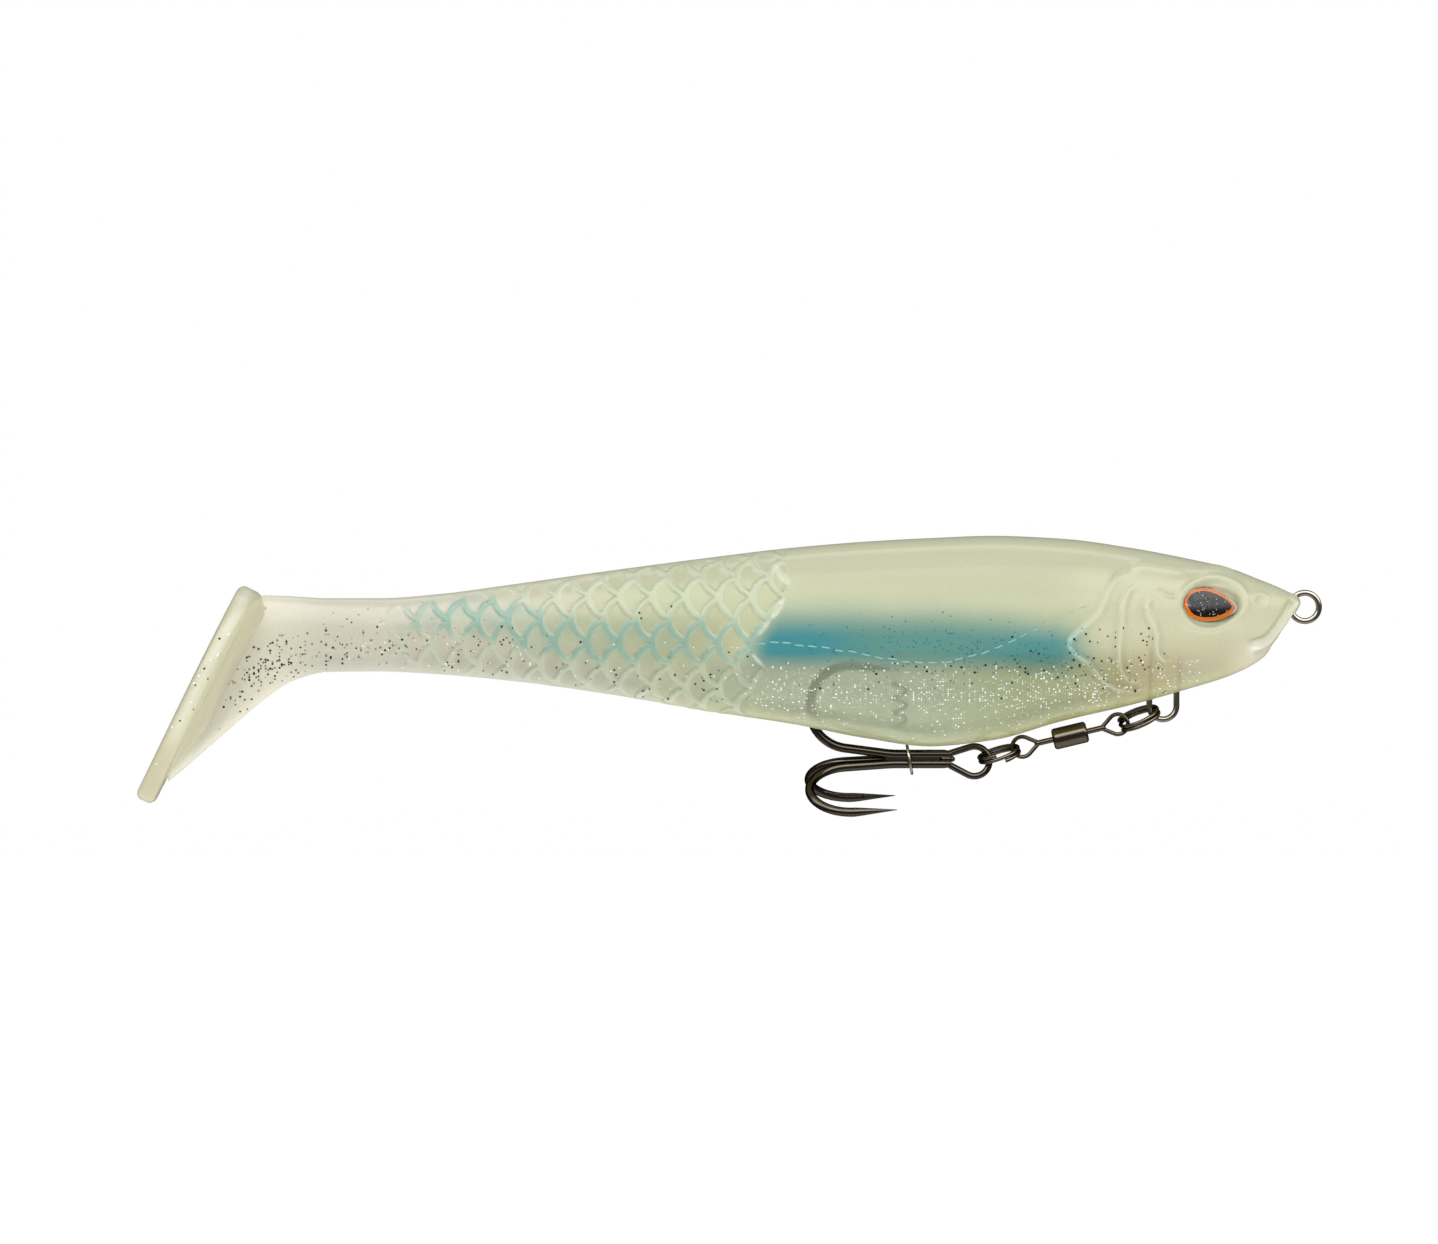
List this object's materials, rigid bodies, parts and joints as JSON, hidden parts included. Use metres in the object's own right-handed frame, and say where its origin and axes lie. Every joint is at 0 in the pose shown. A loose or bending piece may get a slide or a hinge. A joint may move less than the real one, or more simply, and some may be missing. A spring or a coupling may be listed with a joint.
{
  "type": "paddle tail swimbait",
  "caption": "Soft plastic fishing lure shaped like a fish, with a swimming paddle tail, glossy eyes and a treble hook slung under the belly on a swivel and split rings.",
  "frame": {"origin": "centre of the line tie ring at the nose, in the lure's middle plane", "axes": "+X along the body towards the nose, +Y towards the lure's left side, +Z towards the back, up when it swims"},
  "size_m": [0.2055, 0.0292, 0.0484],
  "materials": {
    "soft_body": "translucent pearly soft plastic, glossy",
    "stainless_wire": "bright drawn wire",
    "lead": "cast lead",
    "eye_foil": "orange reflective foil",
    "eye_ink": "black with fine glitter",
    "eye_dome": "clear domed resin",
    "dark_spring_steel": "dark bronze-grey plating",
    "swivel_plating": "dark bronze-grey plating over brass",
    "black_nickel": "polished black nickel",
    "solder": "plated solder",
    "keeper_wire": "fine bright wire"
  },
  "bodies": {
    "fish_front": {"body_front": "soft_body", "harness_wire": "stainless_wire", "ballast_weight": "lead", "right_eye_foil": "eye_foil", "right_eye_pupil": "eye_ink", "right_eye_dome": "eye_dome", "left_eye_foil": "eye_foil", "left_eye_pupil": "eye_ink", "left_eye_dome": "eye_dome"},
    "fish_rear": {"body_rear": "soft_body"},
    "stem": {"tail_stem": "soft_body"},
    "paddle": {"tail_paddle": "soft_body"},
    "front_ring": {"front_split_ring": "dark_spring_steel"},
    "swivel_front": {"swivel_front_eye": "swivel_plating"},
    "barrel": {"swivel_barrel": "swivel_plating"},
    "swivel_rear": {"swivel_rear_eye": "swivel_plating"},
    "rear_ring": {"rear_split_ring": "dark_spring_steel"},
    "treble": {"treble_eye_and_hooks": "black_nickel", "treble_third_hook": "black_nickel", "treble_solder": "solder"},
    "keeper": {"hook_keeper": "keeper_wire"}
  },
  "joints": [
    {"name": "body_flex", "type": "hinge", "parent": "fish_front", "child": "fish_rear", "pos_m": [-0.104, 0, -0.005], "axis": [0, 0, 1], "range_deg": [-15, 15], "stiffness_Nm_per_rad": 0.045},
    {"name": "stem_flex", "type": "hinge", "parent": "fish_rear", "child": "stem", "pos_m": [-0.15, 0, -0.005], "axis": [0, 0, 1], "range_deg": [-30, 30], "stiffness_Nm_per_rad": 0.006},
    {"name": "paddle_flex", "type": "hinge", "parent": "stem", "child": "paddle", "pos_m": [-0.174, 0, -0.005], "axis": [0, 0, 1], "range_deg": [-35, 35], "stiffness_Nm_per_rad": 0.004},
    {"name": "front_ring_swing", "type": "hinge", "parent": "fish_front", "child": "front_ring", "pos_m": [-0.02546, 0, -0.0178], "axis": [0, -1, 0], "range_deg": [0, 30]},
    {"name": "swivel_swing", "type": "hinge", "parent": "front_ring", "child": "swivel_front", "pos_m": [-0.03185, 0, -0.02045], "axis": [0, -1, 0], "range_deg": [0, 15]},
    {"name": "barrel_spin", "type": "hinge", "parent": "swivel_front", "child": "barrel", "pos_m": [-0.0406, 0, -0.02225], "axis": [0.9732, 0, 0.23], "continuous": true},
    {"name": "swivel_spin", "type": "hinge", "parent": "swivel_front", "child": "swivel_rear", "pos_m": [-0.0406, 0, -0.02225], "axis": [0.9732, 0, 0.23], "range_deg": [-1.5, 1.5]},
    {"name": "rear_ring_swing", "type": "hinge", "parent": "swivel_rear", "child": "rear_ring", "pos_m": [-0.0496, 0, -0.0244], "axis": [0, -1, 0], "range_deg": [0, 15]},
    {"name": "treble_swing", "type": "hinge", "parent": "rear_ring", "child": "treble", "pos_m": [-0.05616, 0, -0.0266], "axis": [0, -1, 0], "range_deg": [0, 75]},
    {"name": "keeper_slide", "type": "slide", "parent": "treble", "child": "keeper", "axis": [1, 0, 0], "range_m": [-0.0018, 0.002]}
  ]
}
